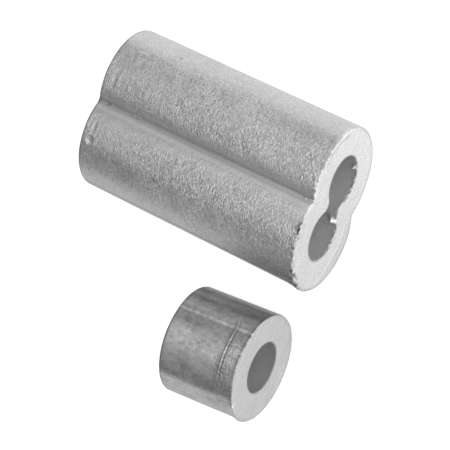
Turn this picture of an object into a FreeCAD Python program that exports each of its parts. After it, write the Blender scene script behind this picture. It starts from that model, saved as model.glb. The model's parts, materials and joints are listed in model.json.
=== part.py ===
import FreeCAD, Part
import math
import os
import Sketcher

# A crimping set for 4.8 mm (3/16 in) wire rope, in two loose aluminium pieces that lie
# side by side on a table:
#   double_barrel_ferrule  an hourglass sleeve with two rope bores that run into each other
#   stop_sleeve            a short round sleeve with one rope bore
#
# Row frame, in millimetres: Z is up and the table is z = 0, Y runs along the ferrule's
# bores with the front mouths towards -Y, and X runs across its two barrels. The stop
# sleeve lies on the -X side. The origin is under the middle of the pair's outline.

SIZES = [
    # alias, value (mm or degrees), what it is
    ("barrel_radius", 5.6, "outside radius of each barrel of the ferrule"),
    ("barrel_spacing", 5.6, "distance between the centre lines of the two barrels"),
    ("valley_radius", 0.6, "rounding of the valley between the barrels"),
    ("rope_bore_radius", 2.6, "bore for 4.8 mm rope, in both pieces"),
    ("ridge_radius", 0.9, "rounding of the two ridges between the joined bores"),
    ("ferrule_length", 26.1, "length along the bores"),
    ("front_cut_angle", 3.9, "how far out of square the front end is cut"),
    ("back_cut_angle", 2.8, "the same for the back end, leaning the same way"),
    ("saw_allowance", 2.0, "bar length that the two cuts take off"),
    ("saw_reach", 10.0, "half-width of the saw cut, past the bar's sides"),
    ("edge_round", 0.2, "rounding that tumbling leaves on the outer end edges"),
    ("mouth_bevel", 0.05, "hairline bevel at each bore's mouth"),
    ("stop_radius", 5.5, "outside radius of the stop sleeve"),
    ("stop_length", 8.5, "length of the stop sleeve"),
    ("crease_setback", 1.8, "crease's distance behind the stop's front face"),
    ("crease_tool_radius", 0.25, "radius of the round edge that pressed the crease"),
    ("crease_depth", 0.15, "depth of the crease"),
    ("crease_sweep", 66.0, "how far round the stop the crease runs"),
    ("stop_offset", 17.4, "stop's centre from the ferrule's centre, across the barrels"),
    ("stop_forward", 8.85, "stop's centre in front of the ferrule's centre"),
    ("stop_yaw", 5.0, "stop turned this far about the vertical"),
    ("stop_roll", 11.5, "stop rolled this far about its own bore"),
]

# How far the pair reaches to each side of the ferrule's centre. On the stop's side that
# is its rounded corner, turned by its yaw.
FERRULE_REACH = "(Sizes.barrel_spacing / 2 + Sizes.barrel_radius)"
STOP_REACH = (
    "(Sizes.stop_offset + Sizes.edge_round"
    " + (Sizes.stop_radius - Sizes.edge_round) * cos(Sizes.stop_yaw * 1 deg)"
    " + (Sizes.stop_length / 2 - Sizes.edge_round) * sin(Sizes.stop_yaw * 1 deg))"
)

# The ferrule's centre, placed so that the pair's outline is centred on the origin. Along
# the bores the outline is the ferrule's own, and its two ends differ only in their lean.
FRONT, BACK = "Sizes.front_cut_angle * 1 deg", "Sizes.back_cut_angle * 1 deg"
FERRULE_X = f"({STOP_REACH} - {FERRULE_REACH}) / 2"
FERRULE_Y = (
    f"(({FERRULE_REACH} - Sizes.edge_round) * (tan({FRONT}) - tan({BACK}))"
    f" - Sizes.edge_round * (1 / cos({FRONT}) - 1 / cos({BACK}))) / 2"
)

ARC_START, ARC_END, ARC_CENTRE = 1, 2, 3
LINE_START, LINE_END = 1, 2
ORIGIN_POINT = (-1, 1)
SKETCH_X_AXIS = -1
ON_PLANE = 1e-4


def write_sizes(doc):
    """The sheet of driving dimensions: name, value and meaning in each row."""
    sheet = doc.addObject("Spreadsheet::Sheet", "Sizes")
    for row, (alias, value, meaning) in enumerate(SIZES, start=1):
        sheet.set(f"A{row}", alias)
        sheet.set(f"B{row}", str(value))
        sheet.set(f"C{row}", meaning)
        sheet.setAlias(f"B{row}", alias)
    doc.recompute()
    return sheet


def add_body(doc, label):
    body = doc.addObject("PartDesign::Body", label)
    body.Label = label
    return body


def origin_feature(body, role):
    return next(f for f in body.Origin.OriginFeatures if f.Role == role)


def add_sketch(body, name, plane_role):
    sketch = body.newObject("Sketcher::SketchObject", name)
    sketch.AttachmentSupport = [(origin_feature(body, plane_role), "")]
    sketch.MapMode = "FlatFace"
    return sketch


def bind(sketch, constraint, name, expression):
    """Add a dimension to a sketch and drive it from the sheet."""
    index = sketch.addConstraint(constraint)
    sketch.renameConstraint(index, name)
    sketch.setExpression(f"Constraints.{name}", expression)


def add_arc(sketch, centre, radius, first_angle, last_angle):
    circle = Part.Circle(centre, FreeCAD.Vector(0, 0, 1), radius)
    return sketch.addGeometry(Part.ArcOfCircle(circle, first_angle, last_angle))


def figure_eight(body, name, sheet, radius_cell, blend_cell):
    """Two equal circles on the X axis, joined above and below by tangent blend arcs."""
    radius = getattr(sheet, radius_cell)
    blend = getattr(sheet, blend_cell)
    half_spacing = sheet.barrel_spacing / 2
    blend_height = math.sqrt((radius + blend) ** 2 - half_spacing**2)
    lean = math.atan2(blend_height, half_spacing)
    straight = math.pi

    sketch = add_sketch(body, name, "XZ_Plane")
    right_centre = FreeCAD.Vector(half_spacing, 0, 0)
    top_centre = FreeCAD.Vector(0, blend_height, 0)
    right = add_arc(sketch, right_centre, radius, lean - straight, straight - lean)
    top = add_arc(sketch, top_centre, blend, lean - straight, -lean)
    left = add_arc(sketch, -right_centre, radius, lean, 2 * straight - lean)
    bottom = add_arc(sketch, -top_centre, blend, lean, straight - lean)

    joints = [
        (right, ARC_END, top, ARC_END),
        (top, ARC_START, left, ARC_START),
        (left, ARC_END, bottom, ARC_END),
        (bottom, ARC_START, right, ARC_START),
    ]
    for joint in joints:
        sketch.addConstraint(Sketcher.Constraint("Tangent", *joint))
    sketch.addConstraint(
        Sketcher.Constraint("Symmetric", left, ARC_CENTRE, right, ARC_CENTRE, *ORIGIN_POINT)
    )
    sketch.addConstraint(
        Sketcher.Constraint("PointOnObject", right, ARC_CENTRE, SKETCH_X_AXIS)
    )
    sketch.addConstraint(Sketcher.Constraint("Equal", right, left))
    sketch.addConstraint(Sketcher.Constraint("Equal", top, bottom))
    spacing = Sketcher.Constraint(
        "DistanceX", left, ARC_CENTRE, right, ARC_CENTRE, 2 * half_spacing
    )
    bind(sketch, spacing, "spacing", "Sizes.barrel_spacing")
    bind(sketch, Sketcher.Constraint("Radius", right, radius), "lobe", f"Sizes.{radius_cell}")
    bind(sketch, Sketcher.Constraint("Radius", top, blend), "blend", f"Sizes.{blend_cell}")
    return sketch


def add_polygon(sketch, points):
    """Closed outline of straight lines, each joined to the next."""
    count = len(points)
    lines = []
    for index in range(count):
        start = FreeCAD.Vector(*points[index], 0)
        end = FreeCAD.Vector(*points[(index + 1) % count], 0)
        lines.append(sketch.addGeometry(Part.LineSegment(start, end)))
    for index in range(count):
        following = lines[(index + 1) % count]
        sketch.addConstraint(
            Sketcher.Constraint("Coincident", lines[index], LINE_END, following, LINE_START)
        )
    return lines


def place_corner(sketch, line, name, position, expressions):
    """Fix the start of a line by its distances from the origin, driven from the sheet."""
    for kind, value, expression in zip(("DistanceX", "DistanceY"), position, expressions):
        constraint = Sketcher.Constraint(kind, *ORIGIN_POINT, line, LINE_START, value)
        bind(sketch, constraint, name + kind[-1], expression)


def corner_outline(body, name, corners):
    """Closed outline in the XY plane; corners holds (name, position, expressions)."""
    sketch = add_sketch(body, name, "XY_Plane")
    lines = add_polygon(sketch, [position for _, position, _ in corners])
    for line, (corner, position, expressions) in zip(lines, corners):
        place_corner(sketch, line, corner, position, expressions)
    return sketch


def cut_through(body, name, sketch):
    """Pocket right through the piece, both ways from the sketch."""
    pocket = body.newObject("PartDesign::Pocket", name)
    pocket.Profile = sketch
    pocket.Type = "ThroughAll"
    pocket.SideType = "Symmetric"
    return pocket


def recompute_and_compare(doc, before, feature):
    """Recompute, and make sure that the feature took material off the piece."""
    volume_before = before.Shape.Volume
    doc.recompute()
    if not feature.Shape.Volume < volume_before - 1e-6:
        raise RuntimeError(f"{feature.Name} removes nothing")


def edge_names(shape, wanted):
    return [f"Edge{number}" for number, edge in enumerate(shape.Edges, 1) if wanted(edge)]


def dress_edges(doc, body, base, wanted, kind, name, size_property, expression):
    """Fillet or chamfer the edges of the base feature that a test picks out."""
    names = edge_names(base.Shape, wanted)
    if not names:
        raise RuntimeError(f"{name} finds no edge")
    dress = body.newObject(f"PartDesign::{kind}", name)
    dress.Base = (base, names)
    dress.setExpression(size_property, expression)
    recompute_and_compare(doc, base, dress)
    return dress


def edge_middle(edge):
    return edge.valueAt((edge.FirstParameter + edge.LastParameter) / 2)


def dress_ends(doc, body, base, on_end, is_outer):
    """Tumbled rounds on the outer end edges and small bevels at the bore mouths."""
    rounds = dress_edges(
        doc, body, base,
        lambda edge: on_end(edge) and is_outer(edge),
        "Fillet", body.Label + "_end_rounds", "Radius", "Sizes.edge_round",
    )
    return dress_edges(
        doc, body, rounds,
        lambda edge: on_end(edge) and not is_outer(edge),
        "Chamfer", body.Label + "_mouth_bevels", "Size", "Sizes.mouth_bevel",
    )


def double_barrel_ferrule(doc, sheet):
    """Hourglass bar with a figure-eight channel, cut to length and tumbled."""
    body = add_body(doc, "double_barrel_ferrule")

    bar = body.newObject("PartDesign::Pad", "bar")
    bar.Profile = figure_eight(body, "bar_outline", sheet, "barrel_radius", "valley_radius")
    bar.SideType = "Symmetric"
    bar.setExpression("Length", "Sizes.ferrule_length + Sizes.saw_allowance")
    doc.recompute()

    channel_outline = figure_eight(
        body, "channel_outline", sheet, "rope_bore_radius", "ridge_radius"
    )
    channel = cut_through(body, "rope_channel", channel_outline)
    recompute_and_compare(doc, bar, channel)

    front_cut = cut_through(body, "front_cut", saw_outline(body, sheet, "front", -1))
    recompute_and_compare(doc, channel, front_cut)
    back_cut = cut_through(body, "back_cut", saw_outline(body, sheet, "back", 1))
    recompute_and_compare(doc, front_cut, back_cut)

    front_slope = math.tan(math.radians(sheet.front_cut_angle))
    back_slope = math.tan(math.radians(sheet.back_cut_angle))
    half_length = sheet.ferrule_length / 2
    wall_middle = (sheet.barrel_radius + sheet.rope_bore_radius) / 2

    def on_end(edge):
        corners = [vertex.Point for vertex in edge.Vertexes]
        corners.append(edge_middle(edge))
        off_front = [abs(corner.y + half_length - front_slope * corner.x) for corner in corners]
        off_back = [abs(corner.y - half_length - back_slope * corner.x) for corner in corners]
        return max(off_front) < ON_PLANE or max(off_back) < ON_PLANE

    def is_outer(edge):
        middle = edge_middle(edge)
        across = abs(middle.x) - sheet.barrel_spacing / 2
        return math.hypot(across, middle.z) > wall_middle

    body.Tip = dress_ends(doc, body, back_cut, on_end, is_outer)

    body.setExpression("Placement.Base.x", FERRULE_X)
    body.setExpression("Placement.Base.y", FERRULE_Y)
    body.setExpression("Placement.Base.z", "Sizes.barrel_radius")
    return body


def saw_outline(body, sheet, end, side):
    """Four-cornered outline beyond one end of the bar, with one side at the cut's angle.

    The cut crosses the bar's middle line at half the ferrule's length; side is -1 for the
    front end and 1 for the back.
    """
    reach = sheet.saw_reach
    middle = side * sheet.ferrule_length / 2
    lean = reach * math.tan(math.radians(getattr(sheet, f"{end}_cut_angle")))
    clear = middle + side * sheet.saw_allowance
    at_middle = f"{side} * Sizes.ferrule_length / 2"
    slant = f"Sizes.saw_reach * tan(Sizes.{end}_cut_angle * 1 deg)"
    outside = f"{at_middle} + {side} * Sizes.saw_allowance"
    left, right = "-Sizes.saw_reach", "Sizes.saw_reach"
    corners = [
        ("cut_left", (-reach, middle - lean), (left, f"{at_middle} - {slant}")),
        ("outside_left", (-reach, clear), (left, outside)),
        ("outside_right", (reach, clear), (right, outside)),
        ("cut_right", (reach, middle + lean), (right, f"{at_middle} + {slant}")),
    ]
    return corner_outline(body, f"{end}_saw_outline", corners)


def stop_wall_outline(body, sheet):
    """Half section of the stop's wall: a rectangle beside the bore's axis."""
    inner, outer = sheet.rope_bore_radius, sheet.stop_radius
    half_length = sheet.stop_length / 2
    bore, skin = "Sizes.rope_bore_radius", "Sizes.stop_radius"
    front, back = "-Sizes.stop_length / 2", "Sizes.stop_length / 2"
    corners = [
        ("bore_front", (inner, -half_length), (bore, front)),
        ("skin_front", (outer, -half_length), (skin, front)),
        ("skin_back", (outer, half_length), (skin, back)),
        ("bore_back", (inner, half_length), (bore, back)),
    ]
    return corner_outline(body, "wall_outline", corners)


def crease_outline(body, sheet):
    """Circle that the crease is cut with, just above the stop's top line."""
    along = sheet.crease_setback - sheet.stop_length / 2
    height = sheet.stop_radius + sheet.crease_tool_radius - sheet.crease_depth
    sketch = add_sketch(body, "crease_outline", "YZ_Plane")
    centre = FreeCAD.Vector(along, height, 0)
    tool = sketch.addGeometry(
        Part.Circle(centre, FreeCAD.Vector(0, 0, 1), sheet.crease_tool_radius)
    )
    bind(
        sketch, Sketcher.Constraint("Radius", tool, sheet.crease_tool_radius),
        "tool", "Sizes.crease_tool_radius",
    )
    bind(
        sketch, Sketcher.Constraint("DistanceX", *ORIGIN_POINT, tool, ARC_CENTRE, along),
        "along", "Sizes.crease_setback - Sizes.stop_length / 2",
    )
    bind(
        sketch, Sketcher.Constraint("DistanceY", *ORIGIN_POINT, tool, ARC_CENTRE, height),
        "height", "Sizes.stop_radius + Sizes.crease_tool_radius - Sizes.crease_depth",
    )
    return sketch


def stop_sleeve(doc, sheet):
    """Short round sleeve with a crease pressed part of the way round its top."""
    body = add_body(doc, "stop_sleeve")

    wall = body.newObject("PartDesign::Revolution", "wall")
    wall.Profile = stop_wall_outline(body, sheet)
    wall.ReferenceAxis = (origin_feature(body, "Y_Axis"), [""])
    wall.Angle = 360
    doc.recompute()

    half_length = sheet.stop_length / 2
    wall_middle = (sheet.stop_radius + sheet.rope_bore_radius) / 2

    def on_end(edge):
        middle = edge_middle(edge)
        return edge.Closed and abs(abs(middle.y) - half_length) < ON_PLANE

    def is_outer(edge):
        middle = edge_middle(edge)
        return math.hypot(middle.x, middle.z) > wall_middle

    dressed = dress_ends(doc, body, wall, on_end, is_outer)

    crease = body.newObject("PartDesign::Groove", "crease")
    crease.Profile = crease_outline(body, sheet)
    crease.ReferenceAxis = (origin_feature(body, "Y_Axis"), [""])
    crease.Midplane = True
    crease.setExpression("Angle", "Sizes.crease_sweep")
    body.Tip = crease
    recompute_and_compare(doc, dressed, crease)

    body.setExpression(
        "Placement",
        "create(<<placement>>; create(<<vector>>; "
        f"{FERRULE_X} - Sizes.stop_offset; {FERRULE_Y} - Sizes.stop_forward; "
        "Sizes.stop_radius); "
        "create(<<rotation>>; Sizes.stop_yaw; Sizes.stop_roll; 0))",
    )
    return body


def check_document(doc, bodies):
    """Stop if any object failed to recompute or a piece has no sound solid."""
    for item in doc.Objects:
        if {"Invalid", "Error"} & set(item.State):
            raise RuntimeError(f"{item.Name} is {item.State}")
    for body in bodies:
        shape = body.Shape
        if shape.isNull() or not shape.isValid() or len(shape.Solids) != 1:
            raise RuntimeError(f"{body.Label} is not one sound solid")


def main():
    doc = FreeCAD.newDocument("wire_rope_crimping_set")
    sheet = write_sizes(doc)
    bodies = [double_barrel_ferrule(doc, sheet), stop_sleeve(doc, sheet)]
    doc.recompute()
    check_document(doc, bodies)
    os.makedirs("parts", exist_ok=True)
    for body in bodies:
        body.Shape.exportStep(f"parts/{body.Label}.step")
        box = body.Shape.BoundBox
        print(body.Label, round(body.Shape.Volume, 2), box)


main()
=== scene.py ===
import json
import math

import bpy
import numpy as np
from mathutils import Matrix, Vector, noise


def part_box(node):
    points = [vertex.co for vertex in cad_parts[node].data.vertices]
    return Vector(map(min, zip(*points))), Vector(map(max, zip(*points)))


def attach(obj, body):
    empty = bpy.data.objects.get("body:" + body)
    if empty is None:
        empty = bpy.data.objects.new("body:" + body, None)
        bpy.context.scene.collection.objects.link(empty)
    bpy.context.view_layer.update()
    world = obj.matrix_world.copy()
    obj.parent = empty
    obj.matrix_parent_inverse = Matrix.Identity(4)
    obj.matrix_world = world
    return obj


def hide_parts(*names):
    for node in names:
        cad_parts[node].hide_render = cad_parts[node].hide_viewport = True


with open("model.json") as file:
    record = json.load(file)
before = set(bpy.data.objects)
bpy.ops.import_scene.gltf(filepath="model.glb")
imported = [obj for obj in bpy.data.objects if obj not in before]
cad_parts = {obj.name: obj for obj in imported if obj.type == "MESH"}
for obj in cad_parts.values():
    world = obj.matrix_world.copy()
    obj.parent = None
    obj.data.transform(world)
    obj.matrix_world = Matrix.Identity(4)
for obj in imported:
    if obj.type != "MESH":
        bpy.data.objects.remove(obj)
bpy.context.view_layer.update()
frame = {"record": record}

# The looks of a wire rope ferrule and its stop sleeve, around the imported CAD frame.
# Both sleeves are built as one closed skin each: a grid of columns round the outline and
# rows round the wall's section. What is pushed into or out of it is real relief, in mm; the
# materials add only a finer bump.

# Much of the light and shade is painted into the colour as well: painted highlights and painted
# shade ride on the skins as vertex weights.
MM = 0.001
MOUNTS = {mount["name"]: mount for mount in frame["record"]["mounts"]}


# ---------------------------------------------------------------- the CAD's own sizes

def mount_point(name):
    return np.array(MOUNTS[name]["pos_m"]) / MM


def half_height(node):
    """Outside radius of a sleeve that lies on the table, in mm."""
    low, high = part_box(node)
    return (high.z - low.z) / 2 / MM


class Ferrule:
    """Sizes of the double-barrel ferrule, in mm."""
    node = "double_barrel_ferrule"
    right = mount_point("ferrule_bore_right")
    left = mount_point("ferrule_bore_left")
    centre = (right + left) / 2
    half_spacing = (right[0] - left[0]) / 2
    radius = half_height(node)
    bore = MOUNTS["ferrule_bore_right"]["dims"]["r_mm"]
    length = MOUNTS["ferrule_bore_right"]["dims"]["length_mm"]
    front_face = MOUNTS["ferrule_front_face"]["axis"]
    back_face = MOUNTS["ferrule_back_face"]["axis"]
    front_slope = -front_face[0] / front_face[1]
    back_slope = -back_face[0] / back_face[1]
    valley = 0.6        # rounding of the valley between the barrels
    ridge = 0.9         # rounding of the ridges between the bores
    yaw = 0.0


class Stop:
    """Sizes of the stop sleeve, in mm."""
    node = "stop_sleeve"
    centre = mount_point("stop_bore")
    radius = half_height(node)
    bore = MOUNTS["stop_bore"]["dims"]["r_mm"]
    length = MOUNTS["stop_bore"]["dims"]["length_mm"]
    front = MOUNTS["stop_bore"]["axis"]
    yaw = math.atan2(front[0], -front[1])


# ---------------------------------------------------------------- outlines of the sections

def arc_directions(first, last, count):
    """Unit vectors at evenly spaced angles, without the last one."""
    angles = first + (last - first) * np.arange(count) / count
    return np.column_stack([np.cos(angles), np.sin(angles)])


def figure_eight(radius, blend, lobe_columns, blend_columns):
    """Points and outward normals, in x and z, of two circles joined by tangent arcs."""
    half = Ferrule.half_spacing
    height = math.sqrt((radius + blend) ** 2 - half**2)
    lean = math.atan2(height, half)
    points, normals = [], []
    for side in (1, -1):
        turn = 0 if side > 0 else math.pi
        lobe = arc_directions(lean - math.pi + turn, math.pi - lean + turn, lobe_columns)
        points.append([side * half, 0] + radius * lobe)
        normals.append(lobe)
        hollow = arc_directions(turn - lean, turn + lean - math.pi, blend_columns)
        points.append([0, side * height] + blend * hollow)
        normals.append(-hollow)
    return np.concatenate(points), np.concatenate(normals)


def round_outline(radius, columns):
    directions = arc_directions(0, 2 * math.pi, columns)
    return radius * directions, directions


# ---------------------------------------------------------------- the wall's rows

EDGE_REACH = 0.55       # the skin's evenly spaced rows keep this far from both ends
FINE_REACH = 2.6        # the skin's rows are closer together up to here, behind the front
FIRST_BORE_DEPTH = 0.1  # the bore's rows start here and grow further apart inwards
MOUTH_BEVEL = 0.05
BACK_ROUND = 0.2        # rounding of the back edge
FRONT_ROUND = 0.12      # rounding of the front edge along the top
UNDER_ROUND = 0.04      # how much more rounded the front edge is underneath
EDGE_STEPS = (0.4, 0.75)            # two more rows between those and the rounded edge
FACE_LEAN = (0.9, 1.4)              # radians of lean over which skin becomes cut face

ROW_PARTS = (
    "end",          # which end the row is measured from: -1 front, 1 back
    "rounds_back",  # distance back from that end, in edge rounds
    "back",         # the same in mm, added
    "rounds_in",    # distance in from the skin, in edge rounds
    "off_bore",     # distance out from the bore, in mm
    "share",        # share of the way from skin to bore
    "lean",         # angle of the normal towards that end
    "inside",       # 1 in the bore and its mouths
)


def end_rows(end, corner_rows, face_rows):
    """Rows of one end, from the skin over the rounded edge and the cut face to the mouth."""
    rows = []
    for step in EDGE_STEPS:
        rows.append((end, step, EDGE_REACH * (1 - step), 0, 0, 0, 0, 0))
    for lean in np.linspace(0, math.pi / 2, corner_rows):
        rows.append((end, 1 - math.sin(lean), 0, 1 - math.cos(lean), 0, 0, lean, 0))
    for share in np.linspace(0, 1, face_rows + 2)[1:-1]:
        rows.append((end, 0, 0, 1, MOUTH_BEVEL, share, math.pi / 2, 0))
    for share in (1, 0.5, 0):
        lean = math.pi / 4 * (0.5 + share)
        rows.append((end, 0, MOUTH_BEVEL * (1 - share), 0, MOUTH_BEVEL * share, 1, lean, 1))
    return rows


def wall_rows(length, fine_rows, skin_rows, corner_rows, face_rows, bore_rows):
    """Rows once round the wall's section: skin, back end, bore and front end."""
    rows = []
    for back in np.linspace(EDGE_REACH, FINE_REACH, fine_rows, endpoint=False):
        rows.append((-1, 0, back, 0, 0, 0, 0, 0))
    for back in np.linspace(FINE_REACH, length - EDGE_REACH, skin_rows):
        rows.append((-1, 0, back, 0, 0, 0, 0, 0))
    rows += end_rows(1, corner_rows, face_rows)
    depths = np.geomspace(FIRST_BORE_DEPTH, length / 2, bore_rows)
    rows += [(1, 0, depth, 0, 0, 1, 0, 1) for depth in depths]
    rows += [(-1, 0, depth, 0, 0, 1, 0, 1) for depth in depths[-2::-1]]
    rows += end_rows(-1, corner_rows, face_rows)[::-1]
    return dict(zip(ROW_PARTS, np.array(rows).T[..., None]))


# ---------------------------------------------------------------- soft steps and bumps

WORM_SHARPNESS = 6      # a worm ends where its noise is 1/6 away from 0


def ease(value, low, high):
    """0 below low, 1 above high, and smooth between."""
    t = np.clip((value - low) / (high - low), 0, 1)
    return t * t * (3 - 2 * t)


def between(value, rise, fall):
    """Eases up from 0 to 1 over the pair rise and down again over the pair fall."""
    return ease(value, *rise) * (1 - ease(value, *fall))


def bell(distance, width):
    """1 at distance 0, fading out over width."""
    return np.exp(-(distance / width) ** 2)


def degrees_apart(first, second):
    return (first - second + 180) % 360 - 180


def bumps(points, size, offset=0.0):
    """Smooth noise from about -1 to 1 in lumps of size mm; offset gives another pattern."""
    places = (points / size + offset).reshape(-1, 3).tolist()
    values = np.array([noise.noise(place) for place in places])
    return values.reshape(points.shape[:-1])


def worms(points, size, offset=0.0):
    """1 along thin winding lines about size mm apart, and 0 between them."""
    return np.clip(1 - WORM_SHARPNESS * np.abs(bumps(points, size, offset)), 0, 1)


# ---------------------------------------------------------------- the wall

RIGHT, LEFT = 1, -1
ELSEWHERE = 99          # mm, the distance given to places on the other barrel
RIMS_APART = 5.0        # keeps the noise round the two barrels' rims different
RIM_SHARE = 0.2         # how far a rim reaches into the cut face, as a share of its width
LOWER_RIM_SHARES = (0.02, 0.09)     # where the lower rim fades, as shares of that width
BACK_RIM_DEPTH = 0.22
SIDEWAYS = 90           # turn of the skin's outermost line
BORE_SHADE = 0.9
BORE_SHADE_DEPTH = 1.3


class Wall:
    """A sleeve's whole skin as a grid of rows and columns, with names for its places.

    turn is the angle round a barrel in degrees from straight up towards +X, behind is the
    distance in mm behind the front face, and share runs from 0 at the skin to 1 at the bore.
    """

    def __init__(self, size, skin, bore, rows, underside):
        """underside is the pair of turns over which the front edge gets more rounded."""
        skin_points, self.skin_out = skin
        bore_points, self.bore_out = bore
        self.radius = size.radius
        self.length = size.length
        self.turn = np.degrees(np.arctan2(self.skin_out[:, 0], self.skin_out[:, 1]))
        self.side = np.where(skin_points[:, 0] > 0, RIGHT, LEFT)
        self.share = rows["share"]
        self.inside = rows["inside"] + 0 * self.turn
        self.end = rows["end"] + 0 * self.turn
        self.front = self.end < 0
        front_round = FRONT_ROUND + UNDER_ROUND * ease(np.abs(self.turn), *underside)
        edge = np.where(self.front, front_round, BACK_ROUND)
        back = rows["rounds_back"] * edge + rows["back"]
        self.along = self.end * (size.length / 2 - back)
        self.behind = self.along + size.length / 2
        cut = ease(rows["lean"], *FACE_LEAN)
        self.face = cut * (1 - self.inside)
        self.skin = (1 - cut) * (1 - self.inside)
        outer = skin_points - (rows["rounds_in"] * edge)[..., None] * self.skin_out
        inner = bore_points + rows["off_bore"][..., None] * self.bore_out
        across = outer + self.share[..., None] * (inner - outer)
        self.points = np.stack([across[..., 0], self.along, across[..., 1]], axis=2)

    @property
    def x(self):
        return self.points[..., 0]

    @property
    def z(self):
        return self.points[..., 2]

    def push(self, out=0.0, into_bore=0.0, lengthwise=0.0):
        """Move the skin out, the bore's wall inwards, and the ends lengthwise, in mm."""
        skin_push = ((1 - self.share) * out)[..., None] * self.skin_out
        bore_push = (self.share * into_bore)[..., None] * -self.bore_out
        across = skin_push + bore_push
        self.points[..., 0] += across[..., 0]
        self.points[..., 2] += across[..., 1]
        self.points[..., 1] += self.end * lengthwise

    def line(self, turn, width):
        """1 along the whole barrel at this turn, fading over width degrees."""
        return bell(degrees_apart(self.turn, turn), width)

    def round_from(self, turn):
        """Distance round the skin from this turn, in mm."""
        return self.radius * np.radians(degrees_apart(self.turn, turn))

    def offsets(self, side, turn, behind):
        """Distances of every vertex from a place on one barrel, round it and along it."""
        across = np.where(self.side == side, self.round_from(turn), ELSEWHERE)
        return across, self.behind - behind

    def spot(self, side, turn, behind, wide, long):
        """1 at a place on the skin, fading round it over wide by long mm."""
        across, along = self.offsets(side, turn, behind)
        return np.exp(-(across / wide) ** 2 - (along / long) ** 2) * self.skin

    def ring(self, side, turn, behind, radius, width):
        """1 on a circle round a place on the skin, fading over width mm."""
        across, along = self.offsets(side, turn, behind)
        return bell(np.hypot(across, along) - radius, width) * self.skin

    def ragged(self, size, offset):
        """Noise round the rim only, in lumps of size degrees."""
        rims = zip(self.turn / size, offset + RIMS_APART * self.side)
        return np.array([noise.noise((place, rim, 0.5)) for place, rim in rims])

    def front_rim(self, depth):
        """1 on the front rim, fading over depth mm behind it and into the face."""
        return bell(self.behind, depth) * self.front * np.clip(1 - self.share / RIM_SHARE, 0, 1)

    def back_rim(self):
        return bell(self.length - self.behind, BACK_RIM_DEPTH) * self.skin

    def lower_rim(self, first_turn):
        """1 on the face's outer edge, from about first_turn down on both sides."""
        edge = (1 - ease(self.share, *LOWER_RIM_SHARES)) * self.face
        return edge * ease(np.abs(self.turn), first_turn, SIDEWAYS)

    def front_mouth(self, depth):
        """1 at the bore's front mouth, fading over depth mm inside."""
        return self.inside * bell(self.behind, depth) * self.front

    def bore_shade(self):
        """Painted shade in the bore, darkest at the front."""
        return BORE_SHADE * np.exp(-self.behind / BORE_SHADE_DEPTH) * self.inside


# ---------------------------------------------------------------- meshes

def build_mesh(name, wall, regions):
    """A closed quad mesh, smooth shaded, with the region weights as vertex attributes."""
    regions = {"cut_face": wall.face, "in_bore": wall.inside, **regions}
    rows, columns = wall.points.shape[:2]
    index = np.arange(rows * columns).reshape(rows, columns)
    right = np.roll(index, -1, axis=1)
    down = np.roll(index, -1, axis=0)
    corner = np.roll(right, -1, axis=0)
    faces = np.stack([index, right, corner, down], axis=2).reshape(-1, 4)
    mesh = bpy.data.meshes.new(name)
    mesh.vertices.add(rows * columns)
    mesh.vertices.foreach_set("co", (wall.points * MM).astype(np.float32).ravel())
    mesh.loops.add(faces.size)
    mesh.loops.foreach_set("vertex_index", faces.astype(np.int32).ravel())
    mesh.polygons.add(len(faces))
    mesh.polygons.foreach_set("loop_start", np.arange(0, faces.size, 4, dtype=np.int32))
    mesh.update(calc_edges=True)
    mesh.validate()
    mesh.shade_smooth()
    for label, weights in regions.items():
        attribute = mesh.attributes.new(label, "FLOAT", "POINT")
        values = np.broadcast_to(weights, (rows, columns)).astype(np.float32)
        attribute.data.foreach_set("value", values.ravel())
    return mesh


def place_piece(name, size, mesh, slot, build):
    """Put a piece in its CAD node's place, on the body of its own name, in the slot's metal."""
    piece = bpy.data.objects.new(name, mesh)
    bpy.context.scene.collection.objects.link(piece)
    centre = Vector(size.centre) * MM
    piece.matrix_world = Matrix.Translation(centre) @ Matrix.Rotation(size.yaw, 4, "Z")
    mesh.materials.append(aluminium(slot, build))
    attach(piece, name)
    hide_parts(size.node)


# ---------------------------------------------------------------- the ferrule

DENTS = (
    # barrel, turn, mm behind the front, height, reach round the barrel, reach along it
    (LEFT, -12, 25.0, -0.16, 0.4, 0.4),
    (RIGHT, -4, 24.75, -0.128, 0.5, 0.18),
    (RIGHT, -4, 24.4, 0.096, 0.5, 0.15),
    (LEFT, 2, 24.95, -0.128, 0.45, 0.16),
    (LEFT, 2, 24.65, 0.096, 0.45, 0.13),
    (RIGHT, 50, 19.8, -0.112, 0.16, 0.16),
    (RIGHT, 20, 4.2, -0.112, 0.18, 0.18),
)
RINGS = (
    # barrel, turn, mm behind the front, height, radius
    (LEFT, -12, 25.0, 0.08, 0.55),
    (RIGHT, -4, 21.3, 0.08, 0.42),
    (RIGHT, 31, 23.3, 0.072, 0.42),
)
RING_WIDTH = 0.13
# Painted shade streaks along the barrels.
SHADE_STREAKS = (
    # barrel, turn, width in degrees, strength
    (LEFT, -71, 3, 0.75),
    (LEFT, -23, 9, 0.25),
    (RIGHT, -18, 5, 0.15),
)
CHIPS = (
    # x, mm behind the front, reach across, reach along
    (-0.98, 0.44, 0.23, 0.36),
    (4.6, 0.24, 0.13, 0.12),
)
CHIP_SLANT = 0.35
CHIP_HEIGHT = 0.65

# The scratch's middle line, from the front at the top of the right barrel, in mm.
SCRATCH_BEHIND = 0.92
SCRATCH_SLANT = 0.06    # mm per degree
SCRATCH_WANDER = 0.15
SCRATCH_WIDTH = 0.09
SCRATCH_GROOVE = 0.17   # from the lip's middle to the groove's
SCRATCH_HEIGHT = 0.08

# Turns on one barrel over which a feature sets in, and over which it ends.
SCRATCH_TURNS = (-17, -11), (12, 18)
BURR_TURNS = (3, 8), (58, 68)
RIGHT_TEETH_TURNS = (-50, -30), (3, 8)
LEFT_TEETH_TURNS = (-70, -50), (30, 50)
NOTCH_TURNS = (-95, -80), (8, 20)
FOLD_TURNS = (5, 15), (55, 70)

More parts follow.
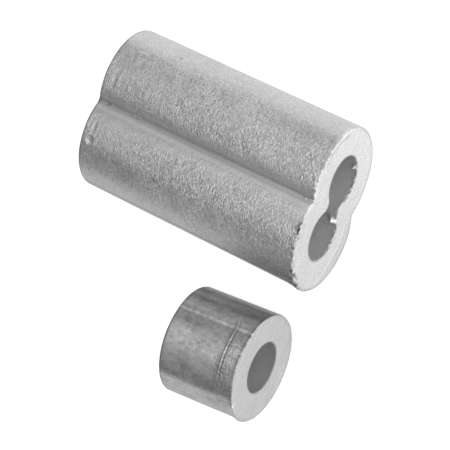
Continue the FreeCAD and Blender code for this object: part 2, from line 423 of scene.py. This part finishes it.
# Distances in mm behind the front face over which a feature fades.
RIM_DEPTH = 0.22
NOTCH_DEPTH = 0.5
FLARE_DEPTH = 0.85
MOUTH_DEPTH = 0.3
MOUTH_EDGE_DEPTH = 0.13
ROLLED_DEPTH = 0.3

# Places on the front face as shares of its width, from 0 at the skin to 1 at the bore.
FOLD_SHARE = 0.17
FOLD_WIDTH = 0.04
ROLLED_SHARE = 0.15

ROLLED_TURNS = (85, 125)            # turns over which the dragged metal sets in
SHEEN_WIDTH = 17                    # of the line along each barrel's top, in degrees
SHEEN = 0.17                        # how much painted highlight brightens that line in front, and painted shade dulls it behind


def lean_ends(wall):
    """Both saw cuts lean the same way, each at its own angle."""
    share = wall.along / Ferrule.length + 0.5
    slope = Ferrule.front_slope + share * (Ferrule.back_slope - Ferrule.front_slope)
    wall.points[..., 1] += slope * wall.points[..., 0]


def grain_strength(wall):
    """Grain is strongest along the tops, patchy, and nearly gone in the valley."""
    top = 0.3 + 0.7 * wall.line(0, 42)
    right = ease(wall.x, 0.3, 1.7)
    left = ease(-wall.x, 0.3, 1.4 + 0.05 * wall.behind)
    off_valley = np.where(wall.x > 0, right, left)
    patchy = 0.85 + 0.5 * bumps(wall.points, 2.6, 50)
    along = (0.78 + 0.22 * ease(wall.behind, 2, 9)) * (1 - 0.5 * ease(wall.behind, 14, 21))
    return top * off_valley * patchy * along * wall.skin


GRAIN_LAYERS = (
    # pattern, height in mm, size in mm, noise offset, part of the length
    (bumps, 0.014, 1.7, 0, "whole"),
    (bumps, 0.012, 0.8, 9, "whole"),
    (bumps, 0.010, 0.45, 30, "front"),
    (worms, -0.010, 0.6, 60, "front"),
    (worms, 0.034, 1.1, 90, "back"),
    (bumps, 0.014, 0.5, 35, "back"),
)


def ferrule_grain(wall, strength):
    """Orange-peel skin: leathery in front and in the middle, larger lumps at the back."""
    parts = {
        "whole": 1,
        "front": 1 - 0.6 * ease(wall.behind, 13, 21),
        "back": ease(wall.behind, 12, 20),
    }
    height = 0
    for pattern, tall, size, offset, part in GRAIN_LAYERS:
        height = height + parts[part] * tall * pattern(wall.points, size, offset)
    off_edge = ease(wall.behind, 0, 0.5)
    off_valley = 1 - 0.8 * bell(wall.x, 0.5)
    return height * (0.3 + 0.7 * strength) * off_edge * off_valley * wall.skin


def ferrule_dents(wall):
    """Knocks and rings in the skin, most of them towards the back end."""
    height = 0
    for side, turn, behind, tall, wide, long in DENTS:
        height = height + tall * wall.spot(side, turn, behind, wide, long)
    for side, turn, behind, tall, radius in RINGS:
        height = height + tall * wall.ring(side, turn, behind, radius, RING_WIDTH)
    return height * (1 + bumps(wall.points, 0.5, 44))


def ferrule_scratch(wall):
    """Winding scratch across the right barrel, just behind the front: 1 on its lip, -1 in it."""
    middle = SCRATCH_BEHIND + SCRATCH_SLANT * wall.turn + SCRATCH_WANDER * wall.ragged(3.0, 40)
    offset = wall.behind - middle
    lip = bell(offset, SCRATCH_WIDTH)
    groove = bell(offset - SCRATCH_GROOVE, SCRATCH_WIDTH)
    reach = between(wall.turn, *SCRATCH_TURNS) * (wall.side == RIGHT)
    return (lip - groove) * reach * wall.skin


def bore_chips(wall):
    """Two chips of metal curling up from the bores' floor just inside the front mouths."""
    floor = (wall.z < 0) * wall.inside * wall.front
    chips = 0
    for x, depth, wide, long in CHIPS:
        along = wall.behind - depth
        across = wall.x - x - CHIP_SLANT * along
        chips = chips + np.exp(-(across / wide) ** 2 - (along / long) ** 2)
    return chips * floor


def small_teeth(wall):
    """Where the front edge has small teeth: over the tops, but for the tall burr."""
    right = between(wall.turn, *RIGHT_TEETH_TURNS)
    left = between(wall.turn, *LEFT_TEETH_TURNS)
    return np.where(wall.side == RIGHT, right, left)


def torn_notches(wall):
    """Pits torn out of the left barrel's front edge, thickest in two places."""
    pits = ease(bumps(wall.points, 0.36, 33), 0.0, 0.2)
    clusters = np.clip(0.25 + wall.line(-4, 9) + wall.line(-62, 16), 0, 1)
    return pits * clusters * between(wall.turn, *NOTCH_TURNS) * (wall.side == LEFT)


def tear_front_edge(wall):
    """Saw burr on the right, notches and a flare on the left; returns the burr's weight, for its
    bare metal and painted glint, and the notches' weight, for the painted shade in them.
    """
    burr = between(wall.turn, *BURR_TURNS) * (wall.side == RIGHT)
    small = small_teeth(wall)
    coarse = wall.ragged(4.0, 3)
    fine = wall.ragged(1.3, 9)
    teeth = burr * (0.16 + 0.26 * coarse + 0.16 * fine)
    teeth = teeth + small * (0.02 + 0.12 * coarse + 0.08 * fine)
    notches = torn_notches(wall)
    flare = wall.line(-92, 28) * (wall.side == LEFT) * bell(wall.behind, FLARE_DEPTH) * wall.front
    rim = wall.front_rim(RIM_DEPTH)
    wide = wall.front_rim(NOTCH_DEPTH)
    wall.push(out=teeth * rim - 0.2 * notches * wide + 0.2 * flare)
    wall.push(lengthwise=(teeth - 0.14 * notches) * rim)
    return (1.6 * burr + 0.3 * small) * rim, notches * wide


def burr_fold(wall):
    """Thin fold on the front face, where the burr along the right barrel's top ends."""
    reach = between(wall.turn, *FOLD_TURNS) * (wall.side == RIGHT)
    return bell(wall.share - FOLD_SHARE, FOLD_WIDTH) * wall.face * wall.front * reach


def rolled_metal(wall):
    """Metal that the saw dragged under the front face: its edge, a flat band and a crest."""
    low = np.abs(wall.turn)
    under = ease(low, *ROLLED_TURNS) * (1 - 0.7 * ease(wall.x, -2.5, 0.5))
    under = under * (1 - wall.inside) * wall.front * bell(wall.behind, ROLLED_DEPTH)
    edge = under * np.clip(1 - wall.share / ROLLED_SHARE, 0, 1)
    reach = 0.02 + 0.3 * ease(low, 100, 150) * ease(-wall.x, 0, 1.5)
    inwards = wall.share / reach
    on_left = under * wall.face * (wall.side == LEFT)
    band = on_left * (1 - ease(inwards, 0.85, 1.05))
    crest = on_left * bell(inwards - 1.2, 0.2)
    return edge, band, crest


def valley_painted_light(wall):
    """Painted shade on the valley's floor, and painted highlights on the strips beside it."""
    near = 1 - ease(wall.behind, 2, 12)
    on_top = (np.abs(wall.turn) < SIDEWAYS) * wall.skin
    dull = (0.8 * bell(wall.x, 0.23) + 0.1 * bell(wall.x - 0.8, 0.5)) * (1 - 0.2 * near)
    valley_highlights = (0.77 + 0.05 * near) * bell(wall.x + 0.52, 0.26)
    valley_highlights = valley_highlights + 0.3 * bell(wall.x - 0.5, 0.2)
    valley_highlights = valley_highlights + (0.13 + 0.15 * near) * bell(wall.x + 1.25, 0.6)
    return dull * on_top, valley_highlights * on_top


def painted_shade_streaks(wall):
    """Painted shade in streaks along the barrels, on the tops behind and on one shoulder in front.
    """
    tops = SHEEN * wall.line(0, SHEEN_WIDTH) * ease(wall.behind, 8, 24)
    shoulder = 0.22 * wall.line(34, 14) * (1 - ease(wall.behind, 0, 17))
    tone_marks = tops + shoulder * (wall.side == RIGHT)
    for side, turn, width, strength in SHADE_STREAKS:
        tone_marks = tone_marks + strength * wall.line(turn, width) * (wall.side == side)
    return tone_marks * wall.skin


def ferrule_wall():
    lobe_columns, blend_columns = 172, 8
    skin = figure_eight(Ferrule.radius, Ferrule.valley, lobe_columns, blend_columns)
    bore = figure_eight(Ferrule.bore, Ferrule.ridge, lobe_columns, blend_columns)
    rows = wall_rows(
        Ferrule.length, fine_rows=28, skin_rows=148, corner_rows=6, face_rows=17, bore_rows=15
    )
    return Wall(Ferrule, skin, bore, rows, underside=(75, 120))


def ferrule_mesh():
    wall = ferrule_wall()
    lower = ease(-wall.z, -1.0, 1.0)
    chips = bore_chips(wall)
    strength = grain_strength(wall)
    scratch = ferrule_scratch(wall)
    relief = ferrule_grain(wall, strength) + ferrule_dents(wall) + SCRATCH_HEIGHT * scratch
    tears = bumps(wall.points, 0.28, 70) * (0.04 + 0.11 * lower) * wall.front_mouth(MOUTH_DEPTH)
    wall.push(out=relief, into_bore=tears + CHIP_HEIGHT * chips)
    burr, notches = tear_front_edge(wall)
    fold = burr_fold(wall)
    edge, band, crest = rolled_metal(wall)
    ripple = 0.012 * bumps(wall.points, 1.5, 20) * wall.face
    wall.push(lengthwise=ripple + 0.2 * edge + 0.06 * crest - 0.08 * fold)
    lean_ends(wall)

    # Painted shade along the valley and painted highlights beside it.
    valley_shade, valley_highlights = valley_painted_light(wall)
    # A painted highlight along the lower edge of the bores' front mouths, broken up.
    broken = np.clip(0.6 + 1.2 * bumps(wall.points, 0.3, 21), 0, 1)
    mouth_edge = 0.9 * lower * wall.front_mouth(MOUTH_EDGE_DEPTH) * broken
    # A painted highlight along each barrel's top, in front.
    tops = SHEEN * wall.line(0, SHEEN_WIDTH) * (1 - ease(wall.behind, 0, 14)) * wall.skin
    # The burr and the chips are bare metal, brightened further as painted glints; the scratch's
    # lip and the rolled crest get painted highlights.
    bare_and_highlight = np.clip(burr + 1.6 * chips + 1.4 * np.clip(scratch, 0, 1) + 0.5 * crest, 0, 1)
    bare_and_highlight = bare_and_highlight + mouth_edge + valley_highlights + tops
    # Painted shade in the notches, as a dark outline along the back edge, in the scratch's groove
    # and along the fold; then on the rolled band and the face's lower edge, where the underside is
    # in shade, in the streaks and the valley, and in the bores.
    painted_shade = 2.2 * notches + 1.3 * wall.back_rim() + 0.5 * np.clip(-scratch, 0, 1) + fold
    painted_shade = painted_shade + 0.15 * band + 0.6 * wall.lower_rim(70) + painted_shade_streaks(wall) + valley_shade
    painted_shade = np.clip(painted_shade, 0, 1.9) + wall.bore_shade() * (1 - bare_and_highlight)
    regions = {"bare_and_highlight": bare_and_highlight, "painted_shade": painted_shade, "grain": strength}
    return build_mesh("double_barrel_ferrule_skin", wall, regions)


# ---------------------------------------------------------------- the stop

# Where the marks lie: mm behind the front, a turn, or the turns over which a mark sets in and
# over which it ends.
CREASE_BEHIND = 1.78
CREASE_TURNS = (-34, -12), (38, 50)
LIP_TURNS = (-22, -12), (26, 36)
GRIP_BEHIND = 1.5
GRIP_TURNS = (-42, -24), (14, 30)
LINE_TURN = 33.5
NICK_TURN = -51
TOP_RIM_TURNS = (-75, -45), (30, 50)
DULL_RIM_TURNS = (-30, 0), (60, 90)


def crease_profile(wall):
    """Groove pressed round the top, with a lip and a dip behind it, bending back on the right."""
    bend = 0.3 * np.clip((wall.turn - 30) / 14, 0, 2) ** 2
    offset = wall.behind - CREASE_BEHIND - bend
    reach = between(wall.turn, *CREASE_TURNS)
    groove = bell(offset + 0.08, 0.08)
    dip = between(offset, (0.08, 0.2), (0.2, 0.9))
    lip = bell(offset - 0.07, 0.06) * between(wall.turn, *LIP_TURNS)
    return (0.03 * lip - 0.05 * groove - 0.035 * dip) * reach * wall.skin


def pinch_marks(wall):
    """Short scratches round the crease, where the sleeve was gripped."""
    near = bell(wall.behind - GRIP_BEHIND, 1.1) * between(wall.turn, *GRIP_TURNS) * wall.skin
    return -0.05 * worms(wall.points / (1.6, 1, 1.6), 0.3, 15) * near


def drawing_streaks(wall):
    """Shallow lines along the bore, left by the die."""
    stretched = wall.points / (1, 12, 1)
    return (0.002 * bumps(stretched, 0.5, 3) + 0.006 * bumps(stretched, 1.3, 8)) * wall.skin


def highlight_ridge_line(wall):
    """Thin line along the skin that is raised a little and given a painted highlight, broken here
    and there.
    """
    broken = np.clip(0.8 + 1.1 * bumps(wall.points, 0.55, 12), 0, 1.3)
    return wall.line(LINE_TURN, 1.6) * wall.skin * broken


def stop_wall():
    columns = 400
    skin = round_outline(Stop.radius, columns)
    bore = round_outline(Stop.bore, columns)
    rows = wall_rows(
        Stop.length, fine_rows=42, skin_rows=50, corner_rows=6, face_rows=16, bore_rows=14
    )
    return Wall(Stop, skin, bore, rows, underside=(50, 100))


def stop_mesh():
    wall = stop_wall()
    line = highlight_ridge_line(wall)
    crease = crease_profile(wall)
    pinches = pinch_marks(wall)
    rim = wall.front_rim(0.2)
    torn = 0.015 * wall.ragged(5.0, 11) * rim
    flare = 0.2 * wall.line(-88, 30) * wall.front_rim(0.4)
    nick = 1.6 * bell(wall.round_from(NICK_TURN), 0.2) * wall.front_rim(0.25)
    marks = drawing_streaks(wall) + crease + pinches + 0.02 * line
    wall.push(out=marks + torn + flare + 0.12 * nick)
    under = ease(np.abs(wall.turn), *ROLLED_TURNS) * rim * (1 - wall.inside)
    ripple = 0.008 * bumps(wall.points, 1.2, 20) * wall.face
    wall.push(lengthwise=torn + 0.14 * under + 0.12 * nick + ripple)
    wall.push(into_bore=0.02 * bumps(wall.points, 0.4, 70) * wall.front_mouth(MOUTH_DEPTH))

    # Painted highlight spots and painted shade spots along the top of the front rim.
    spots = wall.ragged(1.9, 31)
    top_rim = rim * between(wall.turn, *TOP_RIM_TURNS)
    # Painted highlight bands along the skin.
    painted_light_bands = (0.42 * wall.line(-21, 13) + 0.4 * wall.line(60, 9)) * wall.skin
    # The raised line, the bands and the rim spots get painted highlights, and the nick is
    # brightened.
    bare_and_highlight = 1.5 * line + nick + painted_light_bands + 0.2 * top_rim * ease(spots, 0.1, 0.3)
    rim_shade_spots = top_rim * ease(-spots, -0.1, 0.15) * wall.skin
    # A line of painted shade just behind the front rim, and painted shade along the top.
    behind_rim = bell(wall.behind - 0.24, 0.1) * between(wall.turn, *DULL_RIM_TURNS) * wall.skin
    top_painted_shade = 0.25 * wall.line(2, 7) * wall.skin
    # Painted shade: a dark outline along the back edge, in the pinch marks and the crease, on the
    # rim, along the face's lower edge, behind the rim, on the top and in the bore.
    painted_shade = 1.4 * wall.back_rim() - 8 * pinches - 14 * np.minimum(crease, 0) + 0.6 * rim_shade_spots
    painted_shade = painted_shade + 0.35 * wall.lower_rim(60) + 0.8 * behind_rim + top_painted_shade + wall.bore_shade()
    regions = {"bare_and_highlight": np.clip(bare_and_highlight, 0, 1.3), "painted_shade": painted_shade}
    return build_mesh("stop_sleeve_skin", wall, regions)


# ---------------------------------------------------------------- materials

NOISE_MIDDLE = (0.3, 0.7)           # most of a noise's values lie between these
BARE_OR_HIGHLIGHT_BRIGHTER = 0.3     # brightness that bare metal or a painted highlight adds
PAINTED_SHADE_DARKER = 0.45     # share of the brightness that painted shade takes
FACE_DULLNESS = 0.5     # how far the cut faces are from metallic
FOLD_REACH = 0.12       # how far from its middle value a noise still makes a fold
PATCH_SIZE = 1 / 0.35   # mm, of the lighter and darker patches on the ferrule


class Nodes:
    """Short ways to add and join shader nodes."""

    def __init__(self, tree):
        self.tree = tree
        tree.nodes.clear()

    def add(self, kind, inputs=None, **properties):
        node = self.tree.nodes.new(kind)
        for name, value in properties.items():
            setattr(node, name, value)
        for name, value in (inputs or {}).items():
            socket = node.inputs[name]
            if isinstance(value, bpy.types.NodeSocket):
                self.tree.links.new(value, socket)
            else:
                socket.default_value = value
        return node

    def math(self, operation, first, second=0.0):
        node = self.add("ShaderNodeMath", {0: first, 1: second}, operation=operation)
        return node.outputs[0]

    def plus(self, first, second):
        return self.math("ADD", first, second)

    def minus(self, first, second):
        return self.math("SUBTRACT", first, second)

    def times(self, first, second):
        return self.math("MULTIPLY", first, second)

    def remap(self, value, low, high, to_low, to_high):
        """Carry the range low to high over to another one, and clip there."""
        ends = {"From Min": low, "From Max": high, "To Min": to_low, "To Max": to_high}
        return self.add("ShaderNodeMapRange", {"Value": value, **ends}).outputs[0]

    def swing(self, noise_value, low, high):
        """Carry the middle of a noise's range over to the range low to high."""
        return self.remap(noise_value, *NOISE_MIDDLE, low, high)

    def blend(self, factor, first, second):
        inputs = {"Factor": factor, "A": first, "B": second}
        return self.add("ShaderNodeMix", inputs, data_type="FLOAT").outputs[0]

    def attribute(self, name):
        return self.add("ShaderNodeAttribute", attribute_name=name).outputs["Fac"]

    def places(self, size=(1, 1, 1)):
        """Object coordinates in units of size mm."""
        coordinates = self.add("ShaderNodeTexCoord").outputs["Object"]
        scale = [1 / (MM * part) for part in size]
        node = self.add("ShaderNodeVectorMath", {0: coordinates, 1: scale}, operation="MULTIPLY")
        return node.outputs[0]

    def noise(self, size, detail=2.0, rough=0.5, distortion=0.0):
        """Noise from 0 to 1 whose lumps are about size mm along X, Y and Z."""
        look = {"Scale": 1.0, "Detail": detail, "Roughness": rough, "Distortion": distortion}
        return self.add("ShaderNodeTexNoise", {"Vector": self.places(size), **look}).outputs[0]


def grey_to_colour(nodes, value):
    channels = {"Red": value, "Green": value, "Blue": value}
    return nodes.add("ShaderNodeCombineColor", channels).outputs[0]


def aluminium(name, build):
    """A metal material whose brightness, roughness and height come from build(nodes)."""
    material = bpy.data.materials.new(name)
    material.use_nodes = True
    nodes = Nodes(material.node_tree)
    bright, rough, height = build(nodes)
    bump = nodes.add("ShaderNodeBump", {"Height": height, "Strength": 1.0, "Distance": MM})
    inputs = {
        "Base Color": grey_to_colour(nodes, bright),
        "Metallic": bareness(nodes),
        "Roughness": rough,
        "Normal": bump.outputs[0],
    }
    shader = nodes.add("ShaderNodeBsdfPrincipled", inputs)
    nodes.add("ShaderNodeOutputMaterial", {"Surface": shader.outputs[0]})
    return material


def brightness_with_painted_light(nodes, level, face_gain, bore_level):
    """Adjust a skin's brightness on cut faces, in bores, where it is bare metal or has a painted
    highlight, and where painted shade darkens it.
    """
    bare_and_highlight = nodes.attribute("bare_and_highlight")
    level = nodes.plus(level, nodes.times(nodes.attribute("cut_face"), face_gain))
    level = nodes.plus(level, nodes.times(bare_and_highlight, BARE_OR_HIGHLIGHT_BRIGHTER))
    hidden = nodes.times(nodes.attribute("in_bore"), nodes.minus(1.0, bare_and_highlight))
    level = nodes.blend(hidden, level, bore_level)
    painted_shade = nodes.times(nodes.attribute("painted_shade"), PAINTED_SHADE_DARKER)
    return nodes.times(level, nodes.minus(1.0, painted_shade))


def bareness(nodes):
    """How metallic: clean skin and chips fully, cut faces half, the dull bores hardly."""
    dull = nodes.times(nodes.attribute("in_bore"), nodes.minus(0.9, nodes.attribute("bare_and_highlight")))
    dull = nodes.plus(dull, nodes.times(nodes.attribute("cut_face"), FACE_DULLNESS))
    return nodes.minus(1.0, dull)


def saw_lines(nodes):
    """Faint light and dark streaks that the saw left across a cut face."""
    streaks = nodes.noise((4.0, 1.0, 0.35), detail=3.0, rough=0.6, distortion=0.4)
    return nodes.times(nodes.swing(streaks, -0.06, 0.06), nodes.attribute("cut_face"))


def tumbled(nodes):
    """Ferrule: matte leathery skin, brighter cut ends, dull bores."""
    grain = nodes.attribute("grain")
    leather = nodes.noise((0.56, 0.3, 0.56), detail=1.0, distortion=1.5)
    pores = nodes.noise((0.33, 0.14, 0.33), detail=1.0, distortion=1.0)
    sparkle = nodes.noise((0.36, 0.13, 0.36), detail=0.0, distortion=2.0)
    patches = nodes.noise((PATCH_SIZE, PATCH_SIZE, PATCH_SIZE), detail=3.0)
    off_middle = nodes.math("ABSOLUTE", nodes.minus(leather, 0.5))
    folds = nodes.remap(off_middle, 0.0, FOLD_REACH, 1.0, 0.0)

    # The grain's flecks are painted light and shade, lighter tops and darker pits, and the sparkle
    # adds painted glints.
    speckle = nodes.plus(nodes.swing(pores, -0.11, 0.11), nodes.remap(folds, 0, 1, -0.07, 0.15))
    speckle = nodes.plus(speckle, nodes.remap(sparkle, 0.62, 0.78, 0, 0.5))
    bright = nodes.swing(patches, 0.59, 0.65)
    bright = nodes.plus(bright, nodes.times(speckle, nodes.times(grain, 1.3)))
    bright = nodes.plus(bright, saw_lines(nodes))
    bright = brightness_with_painted_light(nodes, bright, face_gain=0.26, bore_level=0.62)
    rough = nodes.plus(nodes.swing(pores, 0.24, 0.34), nodes.times(nodes.attribute("painted_shade"), 0.1))
    height = nodes.plus(nodes.times(folds, 0.036), nodes.times(pores, 0.092))
    return bright, rough, nodes.times(height, nodes.plus(0.15, grain))


def drawn(nodes):
    """Stop: satin skin with streaks along the bore, brighter cut ends."""
    streak = nodes.noise((0.25, 8, 0.25), detail=3.0)
    blotch = nodes.noise((1.2, 1.8, 1.2), detail=3.0)
    mottle = nodes.noise((0.35, 0.6, 0.35))
    fine = nodes.noise((0.2, 0.2, 0.2))
    skin = nodes.minus(1.0, nodes.times(nodes.attribute("cut_face"), 0.8))

    tone_marks = 0.0
    for stain, strength in ((streak, 0.03), (blotch, 0.1), (mottle, 0.08), (fine, 0.07)):
        tone_marks = nodes.plus(tone_marks, nodes.swing(stain, -strength, strength))
    bright = nodes.plus(0.52, nodes.times(tone_marks, skin))
    bright = nodes.plus(bright, saw_lines(nodes))
    bright = brightness_with_painted_light(nodes, bright, face_gain=0.19, bore_level=0.49)
    rough = nodes.swing(blotch, 0.2, 0.28)
    height = nodes.plus(nodes.times(nodes.times(streak, 0.004), skin), nodes.times(fine, 0.003))
    return bright, rough, height


# ---------------------------------------------------------------- studio

SKY_ROUND = [
    # degrees from straight up towards +X, brightness
    (-180, 0.6),
    (-92, 0.26),
    (-65, 0.29),
    (-45, 0.34),
    (-25, 0.54),
    (0, 0.88),
    (40, 0.49),
    (65, 0.49),
    (80, 0.69),
    (95, 1.3),
    (180, 0.6),
]
SKY_ALONG = [
    # share of the direction that points to +Y, brightness multiplier
    (-1, 2.1),
    (-0.5, 1.9),
    (0, 1.2),
    (0.4, 1.0),
    (0.75, 0.7),
    (1, 0.4),
]
RAMP_TOP = 2.0          # a ramp's colours stop at 1, so its levels are kept divided by this
WHITE = (1, 1, 1, 1)
FLOOR_REACH = 2.0       # metres from the middle to each side
FLOOR_COLOUR = (0.85, 0.85, 0.85, 1)
FLOOR_GLOW_EDGES = (5, 20)          # mm along X, between which the floor's own light grows
FLOOR_GLOW = (0.06, 0.31)           # its strength up to the first and from the second
FLOOR_CAMERA_GLOW = 0.6             # added for camera rays only


def brightness_ramp(nodes, value, table):
    """Smooth curve through the table's pairs of value and brightness, read at value."""
    low, high = table[0][0], table[-1][0]
    place = nodes.remap(value, low, high, 0, 1)
    node = nodes.add("ShaderNodeValToRGB", {"Fac": place})
    node.color_ramp.interpolation = "CARDINAL"
    stops = node.color_ramp.elements
    stops.remove(stops[-1])
    for index, (at, level) in enumerate(table):
        position = (at - low) / (high - low)
        stop = stops[0] if index == 0 else stops.new(position)
        stop.position = position
        stop.color = (level / RAMP_TOP, level / RAMP_TOP, level / RAMP_TOP, 1)
    return nodes.times(node.outputs[0], RAMP_TOP)


def light_tent():
    """Soft light from all round; cameras see plain white behind it."""
    world = bpy.data.worlds.new("light_tent")
    bpy.context.scene.world = world
    world.use_nodes = True
    nodes = Nodes(world.node_tree)
    direction = nodes.add("ShaderNodeTexCoord").outputs["Generated"]
    parts = nodes.add("ShaderNodeSeparateXYZ", {0: direction}).outputs
    angle = nodes.times(nodes.math("ARCTAN2", parts[0], parts[2]), math.degrees(1))
    round_bores = brightness_ramp(nodes, angle, SKY_ROUND)
    along_bores = brightness_ramp(nodes, parts[1], SKY_ALONG)
    level = nodes.times(round_bores, along_bores)
    seen = nodes.add("ShaderNodeLightPath").outputs["Is Camera Ray"]
    light = nodes.add("ShaderNodeBackground", {"Color": WHITE, "Strength": level})
    white = nodes.add("ShaderNodeBackground", {"Color": WHITE, "Strength": 1.0})
    both = nodes.add("ShaderNodeMixShader", {0: seen, 1: light.outputs[0], 2: white.outputs[0]})
    nodes.add("ShaderNodeOutputWorld", {"Surface": both.outputs[0]})


def pale_floor():
    """A white sheet with a little light of its own, like a light table."""
    half = FLOOR_REACH
    mesh = bpy.data.meshes.new("floor")
    corners = [(-half, -half, 0), (half, -half, 0), (half, half, 0), (-half, half, 0)]
    mesh.from_pydata(corners, [], [(0, 1, 2, 3)])
    floor = bpy.data.objects.new("floor", mesh)
    bpy.context.scene.collection.objects.link(floor)
    material = bpy.data.materials.new("pale_floor")
    material.use_nodes = True
    nodes = Nodes(material.node_tree)
    seen = nodes.add("ShaderNodeLightPath").outputs["Is Camera Ray"]
    diffuse = nodes.add("ShaderNodeBsdfDiffuse", {"Color": FLOOR_COLOUR})
    x = nodes.add("ShaderNodeSeparateXYZ", {0: nodes.places()}).outputs[0]
    glow_level = nodes.remap(x, *FLOOR_GLOW_EDGES, *FLOOR_GLOW)
    strength = nodes.plus(glow_level, nodes.times(seen, FLOOR_CAMERA_GLOW))
    glow = nodes.add("ShaderNodeEmission", {"Color": WHITE, "Strength": strength})
    both = nodes.add("ShaderNodeAddShader", {0: diffuse.outputs[0], 1: glow.outputs[0]})
    nodes.add("ShaderNodeOutputMaterial", {"Surface": both.outputs[0]})
    mesh.materials.append(material)


# ---------------------------------------------------------------- camera

CAMERA_AZIMUTH = math.radians(-9.42)
CAMERA_ELEVATION = math.radians(63.83)
CAMERA_ROLL = math.radians(74.25)
CAMERA_DISTANCE = 227.62            # mm
CAMERA_LENS = 183.8                 # mm
CAMERA_SENSOR = 36                  # mm
CAMERA_NEAR = 0.01                  # metres
CAMERA_AIM = (1.34, -3.06, 5.6)     # mm


def aim_camera():
    """Long-lens camera, high in front of the mouths and rolled almost onto its side."""
    data = bpy.data.cameras.new("camera")
    data.sensor_width = CAMERA_SENSOR
    data.lens = CAMERA_LENS
    data.clip_start = CAMERA_NEAR
    camera = bpy.data.objects.new("camera", data)
    bpy.context.scene.collection.objects.link(camera)
    flat = math.cos(CAMERA_ELEVATION)
    view = Vector((
        flat * math.sin(CAMERA_AZIMUTH),
        flat * math.cos(CAMERA_AZIMUTH),
        -math.sin(CAMERA_ELEVATION),
    ))
    level = view.to_track_quat("-Z", "Y").to_matrix().to_4x4()
    place = (Vector(CAMERA_AIM) - view * CAMERA_DISTANCE) * MM
    camera.matrix_world = Matrix.Translation(place) @ level @ Matrix.Rotation(-CAMERA_ROLL, 4, "Z")
    bpy.context.scene.camera = camera


light_tent()
pale_floor()
place_piece("ferrule", Ferrule, ferrule_mesh(), "tumbled_aluminium", tumbled)
place_piece("stop", Stop, stop_mesh(), "drawn_aluminium", drawn)
aim_camera()
bpy.context.scene.view_settings.view_transform = "Standard"
